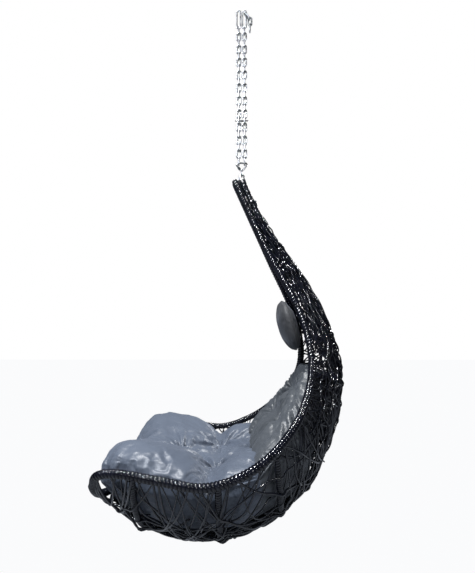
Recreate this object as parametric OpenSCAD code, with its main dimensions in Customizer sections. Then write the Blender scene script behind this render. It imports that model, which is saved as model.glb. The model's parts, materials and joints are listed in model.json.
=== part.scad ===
// Hanging teardrop swing chair: a wrapped steel-tube basket with open random weave,
// three loose cushions, and a doubled chain on two snap hooks.
// +Z is up, the sitter faces -Y, +X is the sitter's left.
// The origin is the inside of the top crowns of the two snap hooks, where the chair hangs.

/* [Frame tubes] */
// Outside diameter of the two side rails, the front rail and the spine
rail_d = 19; // [16:0.5:22]
// Outside diameter of the cross ribs
rib_d = 13; // [10:0.5:16]
// Thickness of the flat strip wound round every tube
wrap_t = 2; // [1:0.25:2.5]
// Free space left between a tube and its winding
wrap_gap = 0.4; // [0.3:0.1:0.6]

/* [Weave] */
// Thickness of the woven skin under the seat, two strands deep
seat_weave_t = 6; // [4:1:8]
// Thickness of the woven skin at the back, where it is woven about twice as densely
back_weave_t = 12; // [7:1:15]
// Space between the woven skin and the wrapped tubes round it
weave_gap = 4; // [2:1:8]

/* [Chain] */
// Wire diameter of the chain links
chain_d = 5.5; // [4:0.5:6]
// Distance from one link's centre to the next
chain_pitch = 25; // [22:0.5:28]
// Outside width of a link
chain_w = 18.4; // [17:0.2:21]
// Links in each fall, an odd number, so that the end links face the same way
fall_links = 21; // [17:2:23]
// Free play where one round wire hangs on another
play = 0.8; // [0.5:0.1:1]
// Distance between the two falls
fall_gap = 20.6; // [20:0.1:21]

/* [Snap hooks and quick links] */
// Wire diameter of the snap hooks
hook_d = 6; // [5:0.5:6.5]
// Inside height of a snap hook
hook_h = 64; // [58:1:72]
// Wire diameter of the quick links
quick_d = 6; // [5:0.5:6]
// Length of the short link between the triangular quick link and the frame's eye
frame_link_h = 28; // [26:1:32]

/* [Cushions] */
// Space between the cushions and the basket's centre surface
cushion_gap = 26; // [22:1:32]
// Height of the seat cushion's sides above the line from rail to rail, at its back
seat_back_rise = 25; // [10:1:35]
// The same at its front, where the sides swell into two rolls
seat_front_rise = 66; // [40:1:75]
// Depth of the hollow between the sides, at the cushion's back
seat_back_hollow = 40; // [15:1:50]
// The same at its front
seat_front_hollow = 96; // [60:1:110]
// How far the back cushion stands out from the line from rail to rail, at its foot
back_foot_rise = 44; // [15:1:50]
// How far it stands out at its top
back_top_rise = 52; // [30:1:60]
// Depth of the hollow down the middle of the back cushion
back_hollow = 24; // [0:1:30]
// Depth of the tufts under the buttons
tuft = 22; // [10:1:30]
// Width of the head pillow
pillow_w = 250; // [200:5:280]
// Length of the head pillow along the rails
pillow_l = 175; // [150:5:200]
// Thickness of the head pillow
pillow_t = 58; // [45:1:70]

/* [Hidden] */

$fn = 40;

black_steel = [0.09, 0.09, 0.11];
rattan = [0.07, 0.07, 0.10];
zinc = [0.72, 0.73, 0.75];
seat_cloth = [0.42, 0.46, 0.52];
back_cloth = [0.30, 0.32, 0.35];
pillow_cloth = [0.24, 0.24, 0.25];

// ---- Stations of the basket, from the apex round the back and under the seat to the front.
// Each is [half width, rail y, rail z, spine y, spine z].
stations = [
    [13, -22, -661, 2, -655],
    [15, 45, -814, 71, -803],
    [34, 104, -944, 150, -927],
    [72, 166, -1070, 234, -1060],
    [102, 204, -1180, 291, -1185],
    [143, 214, -1280, 319, -1310],
    [222, 189, -1368, 304, -1465],
    [330, 134, -1445, 205, -1678],
    [405, 40, -1520, 45, -1795],
    [420, -80, -1563, -85, -1826],
    [410, -200, -1551, -215, -1816],
    [391, -305, -1540, -325, -1765],
    [364, -364, -1553, -385, -1712],
    [312, -390, -1592, -405, -1676]
];
last = len(stations) - 1;
// The basket's rise from the spine to the rails: a shallow bowl, and a share that rises only at its edge
bowl_power = 1.5;
edge_power = 6;
edge_share = 0.3;
// Mean slope of that rise over the outermost tenth
edge_slope = 0.85 * (bowl_power * (1 - edge_share) + edge_power * edge_share);
function bowl(across) =
    (1 - edge_share) * pow(abs(across), bowl_power) + edge_share * pow(abs(across), edge_power);

rail_r = rail_d / 2;
rib_r = rib_d / 2;
wrap_in = rail_r + wrap_gap;
wrap_out = wrap_in + wrap_t;
rib_wrap_in = rib_r + wrap_gap;
rib_wrap_out = rib_wrap_in + wrap_t;

// Stations at which the ribs cross, top of the back to the front of the seat
rib_at = [2.35, 5.3, 7.55, 8.8, 10.6];

tube_sides = 10;
rib_sides = 8;

function unit(v) = v / norm(v);

// A smooth curve through equally spaced stations, in and out of each at the mean slope
function mirror_end(p, q) = 2 * p - q;
function blend4(a, b, c, d, f) =
    0.5 * (2 * b + (c - a) * f + (2 * a - 5 * b + 4 * c - d) * f * f
        + (3 * b - a - 3 * c + d) * f * f * f);
function station(t) =
    let (i = max(0, min(floor(t), last - 1)), p = stations[i], q = stations[i + 1])
    blend4(i > 0 ? stations[i - 1] : mirror_end(p, q), p, q,
        i + 2 <= last ? stations[i + 2] : mirror_end(q, p), t - i);

function rail_point(t, side) = let (s = station(t)) [side * s[0], s[1], s[2]];
function spine_point(t) = let (s = station(t)) [0, s[3], s[4]];
function half_width(t) = station(t)[0];
// The middle of the line from rail to rail, and the way from the spine to it
function chord_middle(t) = let (s = station(t)) [0, s[1], s[2]];
function inward(t) = unit(chord_middle(t) - spine_point(t));
function depth(t) = norm(chord_middle(t) - spine_point(t));

// The basket's centre surface: across is -1 at one rail, 0 at the spine and 1 at the other rail
function basket(t, across) =
    spine_point(t) + [half_width(t) * across, 0, 0]
    + inward(t) * depth(t) * bowl(across);
function basket_normal(t, across) =
    let (e = 0.02, along = basket(min(t + e, last), across) - basket(t - e, across))
    unit(cross(along, basket(t, across + e) - basket(t, across - e)));

// ---- Lofts: closed solids through rings that all have the same number of points
function loft_faces(n, m, cyclic) = [
    for (i = [0 : n - (cyclic ? 1 : 2)], k = [0 : m - 1], half = [0, 1])
        let (a = i * m, b = ((i + 1) % n) * m, next = (k + 1) % m)
        half == 0 ? [a + k, b + next, a + next] : [a + k, b + k, b + next]
];
// A cap is a strip between the first half of the ring's points and the second half
function cap_faces(from, m, flip) = [
    for (k = [0 : m / 2 - 2], half = [0, 1])
        let (
            a = from + k,
            b = from + m - 1 - k,
            face = half == 0 ? [a, a + 1, b - 1] : [a, b - 1, b]
        )
        flip ? [face[0], face[2], face[1]] : face
];
module loft(rings, cyclic = false) {
    n = len(rings);
    m = len(rings[0]);
    caps = cyclic ? [] : concat(cap_faces(0, m, false), cap_faces((n - 1) * m, m, true));
    polyhedron([for (ring = rings, p = ring) p], concat(loft_faces(n, m, cyclic), caps), 10);
}

// A ring of points round a path's point, square to the path
function tangent(path, i) = unit(path[min(i + 1, len(path) - 1)] - path[max(i - 1, 0)]);
function ring_at(path, i, r, ref, sides) =
    let (along = tangent(path, i), u = unit(cross(ref, along)), v = cross(along, u))
    [for (k = [0 : sides - 1]) path[i] + r * (cos(360 * k / sides) * u + sin(360 * k / sides) * v)];
module tube(path, r, ref, sides) {
    loft([for (i = [0 : len(path) - 1]) ring_at(path, i, r, ref, sides)]);
}
module sleeve(path, r_in, r_out, ref, sides) {
    n = len(path) - 1;
    loft([
        for (i = [0 : n]) ring_at(path, i, r_out, ref, sides),
        for (i = [n : -1 : 0]) ring_at(path, i, r_in, ref, sides)
    ], true);
}

// ---- Paths of the tubes
rail_steps = 52;
spine_steps = 44;
front_steps = 20;
rib_steps = 16;
function rail_path(side, from = 0, to = last) =
    [for (i = [0 : rail_steps]) rail_point(from + (to - from) * i / rail_steps, side)];
function spine_path(from, to) =
    [for (i = [0 : spine_steps]) spine_point(from + (to - from) * i / spine_steps)];
function across_path(t, reach, steps) =
    [for (i = [0 : steps]) basket(t, reach * (2 * i / steps - 1))];
// The rib's way round is measured from the direction along the basket
function rib_ref(t) = unit(spine_point(t + 0.1) - spine_point(t - 0.1));

module side_rail(side) {
    color(black_steel) tube(rail_path(side), rail_r, [1, 0, 0], tube_sides);
}
module left_side_rail() {
    side_rail(1);
}
module right_side_rail() {
    side_rail(-1);
}
module front_rail() {
    color(black_steel) tube(across_path(last, 1, front_steps), rail_r, [0, 1, 0], tube_sides);
}
module spine_tube() {
    color(black_steel) tube(spine_path(0.02, last), rail_r, [1, 0, 0], tube_sides);
}
module rib(n) {
    color(black_steel) tube(across_path(rib_at[n], 1, rib_steps), rib_r, rib_ref(rib_at[n]), rib_sides);
}
module upper_back_rib() {
    rib(0);
}
module middle_back_rib() {
    rib(1);
}
module seat_back_rib() {
    rib(2);
}
module seat_middle_rib() {
    rib(3);
}
module seat_front_rib() {
    rib(4);
}

// ---- Windings of flat strip, one sleeve for each tube
module rail_wrap(side) {
    color(rattan) sleeve(rail_path(side, 0.02, last - 0.05), wrap_in, wrap_out, [1, 0, 0], tube_sides);
}
module left_rail_wrap() {
    rail_wrap(1);
}
module right_rail_wrap() {
    rail_wrap(-1);
}
module front_rail_wrap() {
    color(rattan)
        sleeve(across_path(last, 0.97, front_steps), wrap_in, wrap_out, [0, 1, 0], tube_sides);
}
module spine_wrap() {
    color(rattan) sleeve(spine_path(0.04, last - 0.15), wrap_in, wrap_out, [1, 0, 0], tube_sides);
}
// A rib's winding stops short of the windings on the spine and the rails
module rib_wraps() {
    color(rattan)
        for (t = rib_at, side = [-1, 1]) {
            w = half_width(t);
            first = (wrap_out + 4) / w;
            reach = 1 - (wrap_out + 5) / norm([w, edge_slope * depth(t)]);
            path = [for (i = [0 : rib_steps / 2])
                basket(t, side * (first + (reach - first) * i / (rib_steps / 2)))];
            sleeve(path, rib_wrap_in, rib_wrap_out, rib_ref(t), rib_sides);
        }
}

// ---- Woven skin, one panel for each bay between two ribs
panel_along = 7;
panel_across = 6;
module weave_panel(from, to, side, thick) {
    loft([
        for (i = [0 : panel_along])
            let (
                t = from + (to - from) * i / panel_along,
                w = half_width(t),
                clear = wrap_out + weave_gap,
                a0 = clear / w,
                a1 = 1 - clear / norm([w, edge_slope * depth(t)]),
                across = [for (k = [0 : panel_across])
                    side * (a0 + (a1 - a0) * (side > 0 ? panel_across - k : k) / panel_across)]
            )
            [
                for (a = across) basket(t, a) + basket_normal(t, a) * thick / 2,
                for (k = [panel_across : -1 : 0])
                    basket(t, across[k]) - basket_normal(t, across[k]) * thick / 2
            ]
    ]);
}
// How much of a station one millimetre is, measured along the rail, where bays are narrowest
function per_mm(t) = 0.1 / norm(rail_point(t + 0.05, 1) - rail_point(t - 0.05, 1));
function rib_clear(t) = (rib_wrap_out + weave_gap) * per_mm(t);
module weave(edges, side, thick) {
    color(rattan)
        for (i = [0 : len(edges) - 2])
            weave_panel(
                edges[i] + rib_clear(edges[i]), edges[i + 1] - rib_clear(edges[i + 1]), side, thick
            );
}
// The skin starts where the rails have parted far enough to leave a bay between them and the spine
back_bays = [2.6, rib_at[1], rib_at[2]];
seat_bays = [rib_at[2], rib_at[3], rib_at[4], last - 1];
module left_back_weave() {
    weave(back_bays, 1, back_weave_t);
}
module right_back_weave() {
    weave(back_bays, -1, back_weave_t);
}
module left_seat_weave() {
    weave(seat_bays, 1, seat_weave_t);
}
module right_seat_weave() {
    weave(seat_bays, -1, seat_weave_t);
}

// ---- Apex: a plate welded between the rails and the spine
plate_t = 8;
module apex_plate() {
    color(black_steel)
        translate([-plate_t / 2, 0, 0])
            rotate([90, 0, 90])
                linear_extrude(plate_t)
                    polygon([[-24, -652], [12, -645], [30, -700], [0, -712]]);
}

// ---- Round wire bent into a closed polygon with rounded corners, flat in the YZ plane.
// The corners are [y, z] points, anticlockwise seen from +X.
function left_of(e) = [-e[1], e[0]];
function way_out(pts, i) = unit(pts[(i + 1) % len(pts)] - pts[i]);
function way_in(pts, i) = way_out(pts, (i + len(pts) - 1) % len(pts));
function turn_at(pts, i) = acos(way_in(pts, i) * way_out(pts, i));
function cut_at(pts, i, r) = r * tan(turn_at(pts, i) / 2);
// The bend of a wire round the origin, from direction a to direction b, anticlockwise
module bend(a, b, r, d) {
    if (abs(a * b) < 0.001) {
        rotate([0, 0, atan2(a[1], a[0])])
            rotate_extrude(angle = 90) translate([r, 0]) circle(d = d);
    } else {
        intersection() {
            rotate_extrude() translate([r, 0]) circle(d = d);
            translate([0, 0, -d])
                linear_extrude(2 * d)
                    polygon([[0, 0], 4 * r * a, 8 * r * unit(a + b), 4 * r * b]);
        }
    }
}
module wire_polygon(pts, r, d) {
    rotate([90, 0, 90])
        for (i = [0 : len(pts) - 1]) {
            e = way_in(pts, i);
            f = way_out(pts, i);
            next = (i + 1) % len(pts);
            straight = norm(pts[next] - pts[i]) - cut_at(pts, i, r) - cut_at(pts, next, r);
            centre = pts[i] - e * cut_at(pts, i, r) + left_of(e) * r;
            translate(centre) bend([e[1], -e[0]], [f[1], -f[0]], r, d);
            translate(pts[i] + f * cut_at(pts, i, r))
                rotate([0, 0, atan2(f[1], f[0])])
                    rotate([0, 90, 0])
                        cylinder(d = d, h = straight);
        }
}
module wire_frame(w, h, r, d) {
    wire_polygon([[w / 2, -h / 2], [w / 2, h / 2], [-w / 2, h / 2], [-w / 2, -h / 2]], r, d);
}

// ---- Chain
link_h = chain_pitch + play + chain_d;
link_w = chain_w - chain_d;
link_r = link_w / 2 - 1.2;
hook_bottom = -hook_h - hook_d / 2;
hang = (hook_d + chain_d) / 2 + play;
first_link = hook_bottom + hang - link_h / 2;
fall_y = fall_gap / 2;
function link_z(n) = first_link - n * chain_pitch;
// Links 0, 2, 4 lie across the chair and 1, 3, 5 lie along it
module chain_link(n) {
    rotate([0, 0, n % 2 == 0 ? 90 : 0]) wire_frame(link_w, link_h, link_r, chain_d);
}
module fall(y) {
    color(zinc)
        for (n = [1 : fall_links - 1])
            translate([0, y, link_z(n)]) chain_link(n);
}
module top_links() {
    color(zinc)
        for (side = [-1, 1])
            translate([0, side * fall_y, link_z(0)]) chain_link(0);
}
module front_fall() {
    fall(-fall_y);
}
module rear_fall() {
    fall(fall_y);
}

// ---- Snap hooks: a bent wire with a sprung gate in its front side
hook_w = 13.4;
hook_turn = hook_w / 2 - 0.5;
gate_low = -52;
gate_high = -17;
gate_d = 5;
tongue_t = 2.2;
rivet_d = 2;
module hook_body(y) {
    color(zinc)
        translate([0, y, 0])
            difference() {
                translate([0, 0, hook_d / 2 - (hook_h + hook_d) / 2])
                    wire_frame(hook_w, hook_h + hook_d, hook_turn, hook_d);
                // the opening that the gate closes
                translate([-hook_d, -hook_w / 2 - hook_d, gate_low])
                    cube([2 * hook_d, 2 * hook_d, gate_high - gate_low + play]);
                // cheeks cut away to leave the tongue that the gate straddles
                for (side = [-1, 1])
                    translate([side * (tongue_t / 2 + hook_d / 2) - hook_d / 2,
                            -hook_w / 2 - hook_d, gate_low - 6.5])
                        cube([hook_d, 2 * hook_d, 7]);
                translate([-hook_d, -hook_w / 2, gate_low - 3]) rotate([0, 90, 0])
                    cylinder(d = rivet_d, h = 2 * hook_d);
            }
}
module hook_gate(y) {
    color(zinc)
        translate([0, y - hook_w / 2, 0])
            difference() {
                translate([0, 0, gate_low - 5.3]) cylinder(d = gate_d, h = gate_high - gate_low + 5.3);
                // slot for the tongue
                translate([-tongue_t / 2 - 0.25, -gate_d, gate_low - 6])
                    cube([tongue_t + 0.5, 2 * gate_d, 8]);
                translate([-hook_d, 0, gate_low - 3]) rotate([0, 90, 0])
                    cylinder(d = rivet_d + 0.12, h = 2 * hook_d);
            }
}
module front_hook() {
    hook_body(-fall_y);
}
module rear_hook() {
    hook_body(fall_y);
}
module front_hook_gate() {
    hook_gate(-fall_y);
}
module rear_hook_gate() {
    hook_gate(fall_y);
}
module hook_rivets() {
    color(zinc)
        for (side = [-1, 1])
            translate([-gate_d / 2, side * fall_y - hook_w / 2, gate_low - 3])
                rotate([0, 90, 0]) cylinder(d = rivet_d, h = gate_d);
}

// ---- Spare end of the chain, threaded on the rear hook's back bar
spare_lean = 50;
spare_top = -14;
spare_reach = 6;
module spare_links() {
    bar_y = fall_y + hook_w / 2;
    end_y = bar_y + (spare_reach + link_h / 2) * cos(spare_lean);
    end_z = spare_top - (spare_reach + link_h / 2) * sin(spare_lean);
    color(zinc) {
        translate([0, bar_y, spare_top])
            rotate([-spare_lean, 0, 0])
                translate([0, spare_reach, 0])
                    rotate([0, 90, 90]) wire_frame(link_w, link_h, link_r, chain_d);
        for (n = [0 : 1])
            translate([0, end_y, end_z + chain_d + play - link_h / 2 - n * chain_pitch])
                rotate([0, 0, n % 2 == 0 ? 0 : 90]) wire_frame(link_w, link_h, link_r, chain_d);
    }
}

// ---- Tie link: a small quick link through one link of each fall, so that they hang together
tie_at = 14;
tie_d = 4;
tie_w = 20;
tie_h = 44;
tie_lean = 30;
nut_clear = 0.05;
module tie_place() {
    translate([0, 0, link_z(tie_at)]) rotate([0, tie_lean, 0]) children();
}
module tie_link() {
    color(zinc)
        tie_place()
            difference() {
                translate([tie_w / 2, 0, 0])
                    rotate([0, 90, 0]) wire_frame(tie_h, tie_w, 9, tie_d);
                translate([tie_w - tie_d, -1.5, -tie_d]) cube([2 * tie_d, 3, 2 * tie_d]);
            }
}
module tie_nut() {
    color(zinc)
        tie_place()
            translate([tie_w, -6, 0])
                rotate([-90, 0, 0])
                    difference() {
                        cylinder(d = 8, h = 12, $fn = 6);
                        translate([0, 0, -1]) cylinder(d = tie_d + 2 * nut_clear, h = 14);
                    }
}

// ---- Triangular quick link under the falls
last_wire = link_z(fall_links - 1) - link_h / 2;
delta_bar = last_wire + (chain_d + quick_d) / 2 + play;
// Sides in the ratio 3 to 4 to 5, so that each leg leans by the same simple slope
delta_w = 48;
delta_h = delta_w * 2 / 3;
delta_turn = delta_w / 8;
leg_lean = atan(delta_w / 2 / delta_h);
foot_cut = delta_turn / tan(leg_lean);
delta_foot = delta_bar - delta_h + delta_turn / sin(leg_lean) - delta_turn;
nut_l = 9;
nut_d = 10;
gap_l = 3;
nut_from_foot = foot_cut + 7;
module delta_leg_place() {
    translate([0, 0, delta_bar - delta_h])
        rotate([leg_lean, 0, 0]) children();
}
module delta_link() {
    color(zinc)
        difference() {
            wire_polygon([
                [-delta_w / 2, delta_bar], [0, delta_bar - delta_h], [delta_w / 2, delta_bar]
            ], delta_turn, quick_d);
            delta_leg_place()
                translate([-quick_d, -quick_d, nut_from_foot - gap_l / 2])
                    cube([2 * quick_d, 2 * quick_d, gap_l]);
        }
}
module delta_nut() {
    color(zinc)
        delta_leg_place()
            translate([0, 0, nut_from_foot - nut_l / 2])
                difference() {
                    cylinder(d = nut_d, h = nut_l, $fn = 6);
                    translate([0, 0, -1]) cylinder(d = quick_d + 2 * nut_clear, h = nut_l + 2);
                }
}

// ---- Short link between the triangular link and the frame's eye, lying across the chair
frame_link_d = 5;
frame_link_w = 18;
frame_link_z = delta_foot + (quick_d + frame_link_d) / 2 + play - frame_link_h / 2;
module frame_link() {
    color(zinc)
        translate([0, 0, frame_link_z])
            rotate([0, 0, 90])
                wire_frame(frame_link_w, frame_link_h, 8, frame_link_d);
}

// ---- Eye of round bar, welded into the apex plate
eye_r = 8;
eye_d = 6;
eye_leg = 20;
eye_z = frame_link_z - frame_link_h / 2 + (eye_d + frame_link_d) / 2 + play - eye_r;
module frame_eye() {
    color(zinc)
        translate([0, 0, eye_z]) {
            rotate([90, 0, 90]) rotate_extrude(angle = 180) translate([eye_r, 0]) circle(d = eye_d);
            for (side = [-1, 1])
                translate([0, side * eye_r, -eye_leg]) cylinder(d = eye_d, h = eye_leg);
        }
}

// ---- Cushions: each cross-section sits in the bowl and is crowned on top, with a dip at each button.
// Places on a cushion are a share f of the way from its first to its last station, and a share
// of the way from the middle to its side.
cushion_sides = 16;
cushion_steps = 14;
edge_t = 20;
side_gap = 24;
crown_power = 6;
tuft_reach = 0.16;
seat_from = 8;
seat_to = last - 0.5;
back_from = 5.1;
back_to = 7.85;
// Buttons, each as [share of the way along, share of the way to the side], on cross-sections of the solids
seat_tufts = [[6 / cushion_steps, 0], [3 / cushion_steps, -0.375], [3 / cushion_steps, 0.375]];
back_tufts = [
    for (row = [5, 10], share = [-0.375, 0.375]) [row / cushion_steps, share]
];

function on_chord(t, x, h) = spine_point(t) + [x, 0, 0] + inward(t) * h;
// 0 at the ends of a cushion and 1 along most of it
function swell_at(f) = pow(sin(180 * min(1, max(0, f))), 0.4);
function reach_x(t, swell) = (half_width(t) - wrap_out - side_gap) * (0.86 + 0.14 * swell);
function low_h(t, x, swell) = depth(t) * bowl(x / half_width(t)) + cushion_gap + 14 * (1 - swell);
function dip(f, share, tufts) =
    max([for (b = tufts) exp(-4 * (pow(f - b[0], 2) + pow((share - b[1]) / 2, 2)) / pow(tuft_reach, 2))]);
function top_h(t, f, share, rise, hollow, tufts) =
    let (
        swell = swell_at(f),
        rim = low_h(t, reach_x(t, swell), swell) + edge_t * (0.4 + 0.6 * swell),
        crown = max(4, depth(t) + rise - rim) * (0.5 + 0.5 * swell)
    )
    rim + crown * (1 - pow(abs(share), crown_power)) - hollow * pow(cos(90 * share), 2)
        - tuft * dip(f, share, tufts);
function cushion_ring(t, f, rise, hollow, tufts) =
    let (swell = swell_at(f), a = reach_x(t, swell))
    [
        for (k = [0 : cushion_sides])
            let (x = a * (2 * k / cushion_sides - 1)) on_chord(t, x, low_h(t, x, swell)),
        for (k = [cushion_sides : -1 : 0])
            let (share = 2 * k / cushion_sides - 1)
            on_chord(t, a * share, top_h(t, f, share, rise, hollow, tufts))
    ];
function seat_t(f) = seat_from + (seat_to - seat_from) * f;
function back_t(f) = back_from + (back_to - back_from) * f;
function smooth(f) = f * f * (3 - 2 * f);
function toward_front(f, back, front) = back + (front - back) * smooth(min(1, max(0, (f - 0.25) / 0.5)));
function seat_rise(f) = toward_front(f, seat_back_rise, seat_front_rise);
function seat_hollow(f) = toward_front(f, seat_back_hollow, seat_front_hollow);
function back_rise(f) = back_top_rise + (back_foot_rise - back_top_rise) * f;
module seat_cushion() {
    color(seat_cloth)
        loft([
            for (i = [0 : cushion_steps])
                let (f = i / cushion_steps)
                cushion_ring(seat_t(f), f, seat_rise(f), seat_hollow(f), seat_tufts)
        ]);
}
module back_cushion() {
    color(back_cloth)
        loft([
            for (i = [0 : cushion_steps])
                let (f = i / cushion_steps)
                cushion_ring(back_t(f), f, back_rise(f), back_hollow, back_tufts)
        ]);
}

// A pillow: flat back, crowned front, lying along the rails in front of them
pillow_at = 3.75;
pillow_gap = 9;
pillow_sides = 20;
pillow_steps = 10;
module head_pillow() {
    low = rail_point(pillow_at + 0.5, 0);
    high = rail_point(pillow_at - 0.5, 0);
    lean = atan2(low[1] - high[1], high[2] - low[2]);
    middle = rail_point(pillow_at, 0);
    color(pillow_cloth)
        translate(middle)
            rotate([lean, 0, 0])
                translate([0, -wrap_out - pillow_gap, 0])
                    loft([
                        for (i = [0 : pillow_steps])
                            let (
                                f = i / pillow_steps,
                                grow = pow(cos(86 * f), 0.35)
                            )
                            [
                                for (k = [0 : pillow_sides - 1])
                                    let (a = 360 * k / pillow_sides, c = cos(a), s = sin(a))
                                    [
                                        pillow_w / 2 * grow * sign(c) * pow(abs(c), 0.7),
                                        -pillow_t * f,
                                        pillow_l / 2 * grow * sign(s) * pow(abs(s), 0.7)
                                    ]
                            ]
                    ]);
}

// Cloth-covered buttons that pull the cushions into tufts
button_d = 26;
button_t = 6;
seat_button_lift = 10;
back_button_lift = 27;
module button_on(t, f, share, rise, hollow, tufts, lift) {
    way = inward(t);
    x = share * reach_x(t, swell_at(f));
    translate(on_chord(t, x, top_h(t, f, share, rise, hollow, tufts) + lift))
        rotate([atan2(-way[1], way[2]), 0, 0]) cylinder(d = button_d, h = button_t);
}
module seat_buttons() {
    color(seat_cloth)
        for (b = seat_tufts)
            button_on(seat_t(b[0]), b[0], b[1], seat_rise(b[0]), seat_hollow(b[0]), seat_tufts,
                seat_button_lift);
}
module back_buttons() {
    color(back_cloth)
        for (b = back_tufts)
            button_on(back_t(b[0]), b[0], b[1], back_rise(b[0]), back_hollow, back_tufts,
                back_button_lift);
}

front_hook();
rear_hook();
front_hook_gate();
rear_hook_gate();
hook_rivets();
top_links();
front_fall();
rear_fall();
spare_links();
tie_link();
tie_nut();
delta_link();
delta_nut();
frame_link();
frame_eye();
apex_plate();
left_side_rail();
right_side_rail();
front_rail();
spine_tube();
upper_back_rib();
middle_back_rib();
seat_back_rib();
seat_middle_rib();
seat_front_rib();
left_rail_wrap();
right_rail_wrap();
front_rail_wrap();
spine_wrap();
rib_wraps();
left_back_weave();
right_back_weave();
left_seat_weave();
right_seat_weave();
seat_cushion();
back_cushion();
head_pillow();
seat_buttons();
back_buttons();
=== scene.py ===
"""Looks of a hanging teardrop swing chair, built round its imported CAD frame.

Metres, +Z up, the sitter faces -Y, +X is the sitter's left, and the origin is where the chair hangs.
The basket is described as part.scad describes it: stations run from the apex (0) round the back and
under the seat to the front (LAST), and across runs from -1 at one rail through 0 at the spine to 1 at the
other. Along and across are joined by height, which runs from the spine into the bowl.
"""
import json
import math
import random

import bmesh
import bpy
import numpy as np
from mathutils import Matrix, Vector, noise
from mathutils.bvhtree import BVHTree
from mathutils.kdtree import KDTree


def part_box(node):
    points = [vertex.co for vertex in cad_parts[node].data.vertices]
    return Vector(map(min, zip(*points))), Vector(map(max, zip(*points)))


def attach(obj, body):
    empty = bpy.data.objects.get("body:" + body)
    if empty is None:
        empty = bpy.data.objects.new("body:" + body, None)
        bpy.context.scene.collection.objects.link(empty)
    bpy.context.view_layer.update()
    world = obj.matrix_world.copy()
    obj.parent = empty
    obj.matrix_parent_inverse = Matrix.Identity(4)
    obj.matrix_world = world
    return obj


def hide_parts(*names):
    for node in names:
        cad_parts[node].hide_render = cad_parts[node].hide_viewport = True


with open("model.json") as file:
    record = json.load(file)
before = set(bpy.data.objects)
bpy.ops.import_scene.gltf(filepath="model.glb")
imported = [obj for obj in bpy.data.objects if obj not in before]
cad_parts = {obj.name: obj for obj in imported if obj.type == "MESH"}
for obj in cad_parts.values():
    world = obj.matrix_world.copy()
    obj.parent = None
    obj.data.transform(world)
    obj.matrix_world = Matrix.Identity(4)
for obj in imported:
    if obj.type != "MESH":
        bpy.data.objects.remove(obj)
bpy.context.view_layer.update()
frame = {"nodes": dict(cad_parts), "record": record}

MM = 0.001
BODY = "chair"

# ---- Driving sizes
WRAP_R = 11.9 * MM          # outside radius of the wound rails, front rail and spine
RIB_WRAP_R = 8.9 * MM       # outside radius of the wound ribs
STRIP_W = 10 * MM           # width of the strip wound on rails and spine
GROOVE = 2.3 * MM           # depth of the groove between two of its turns
RIB_STRIP_W = 8.5 * MM      # the same two for the ribs
RIB_GROOVE = 1.7 * MM
TURN_LIFT = 0.25 * MM       # how far a turn may sit above or below its neighbours
STRAND_R = 2.6 * MM         # radius of an ordinary woven strand
TUCK = 14 * MM              # how far a strand's loose end is tucked in
SPINE_PASS = 16 * MM        # how far from the spine, and from a rib, a strand starts to rise over it
RIB_PASS = 15 * MM
RIB_AT = (2.35, 5.3, 7.55, 8.8, 10.6)   # the ribs' stations
BOTH = (-1, 1)              # the two sides, right and left

# Half width, rail y, rail z, spine y and spine z, in millimetres, one row for each station
STATIONS = np.array([
    (13, -22, -661, 2, -655), (15, 45, -814, 71, -803), (34, 104, -944, 150, -927),
    (72, 166, -1070, 234, -1060), (102, 204, -1180, 291, -1185), (143, 214, -1280, 319, -1310),
    (222, 189, -1368, 304, -1465), (330, 134, -1445, 205, -1678), (405, 40, -1520, 45, -1795),
    (420, -80, -1563, -85, -1826), (410, -200, -1551, -215, -1816), (391, -305, -1540, -325, -1765),
    (364, -364, -1553, -385, -1712), (312, -390, -1592, -405, -1676),
]) * MM
LAST = len(STATIONS) - 1
# The bowl's section rises from spine to rail as a wide curve with a share of a steep edge
BOWL_POWER, EDGE_POWER, EDGE_SHARE = 1.5, 6, 0.3


# ---- The basket's surface
def station(t):
    """Stations joined by a smooth curve, at each t of an array."""
    t = np.asarray(t, float)
    first, final = 2 * STATIONS[0] - STATIONS[1], 2 * STATIONS[-1] - STATIONS[-2]
    rows = np.vstack([first, STATIONS, final])
    i = np.clip(np.floor(t).astype(int), 0, LAST - 1)
    f = (t - i)[..., None]
    a, b, c, d = rows[i], rows[i + 1], rows[i + 2], rows[i + 3]
    square, cube = 2 * a - 5 * b + 4 * c - d, 3 * b - a - 3 * c + d
    return 0.5 * (2 * b + (c - a) * f + square * f ** 2 + cube * f ** 3)


def unit(v):
    return v / np.maximum(np.linalg.norm(v, axis=-1, keepdims=True), 1e-12)


def rail(t, side):
    s = station(t)
    return np.stack([side * s[..., 0], s[..., 1], s[..., 2]], -1)


def spine(t):
    s = station(t)
    return np.stack([0 * s[..., 0], s[..., 3], s[..., 4]], -1)


def bowl(across):
    """Height of the basket's section, as a share of its depth."""
    a = np.abs(across)
    return (1 - EDGE_SHARE) * a ** BOWL_POWER + EDGE_SHARE * a ** EDGE_POWER


def inward(t):
    """The way from the spine to the middle of the opening."""
    return unit(rail(t, 0) - spine(t))


def depth(t):
    return np.linalg.norm(rail(t, 0) - spine(t), axis=-1)


def basket(t, across):
    """Points on the basket's surface."""
    t, across = np.broadcast_arrays(np.asarray(t, float), np.asarray(across, float))
    p = spine(t) + inward(t) * (depth(t) * bowl(across))[..., None]
    p[..., 0] += station(t)[..., 0] * across
    return p


def outward(t, across):
    """The way out of the basket, square to its surface."""
    e = 0.03
    along = basket(np.add(t, e), across) - basket(np.subtract(t, e), across)
    over = basket(t, np.add(across, e)) - basket(t, np.subtract(across, e))
    return unit(np.cross(over, along))


# ---- Meshes from paths
def resample(points, step):
    """The same path with its points a step apart."""
    s = np.r_[0, np.cumsum(np.linalg.norm(np.diff(points, axis=0), axis=1))]
    q = np.linspace(0, s[-1], max(3, int(round(s[-1] / step))) + 1)
    return np.stack([np.interp(q, s, points[:, k]) for k in range(3)], 1)


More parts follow.
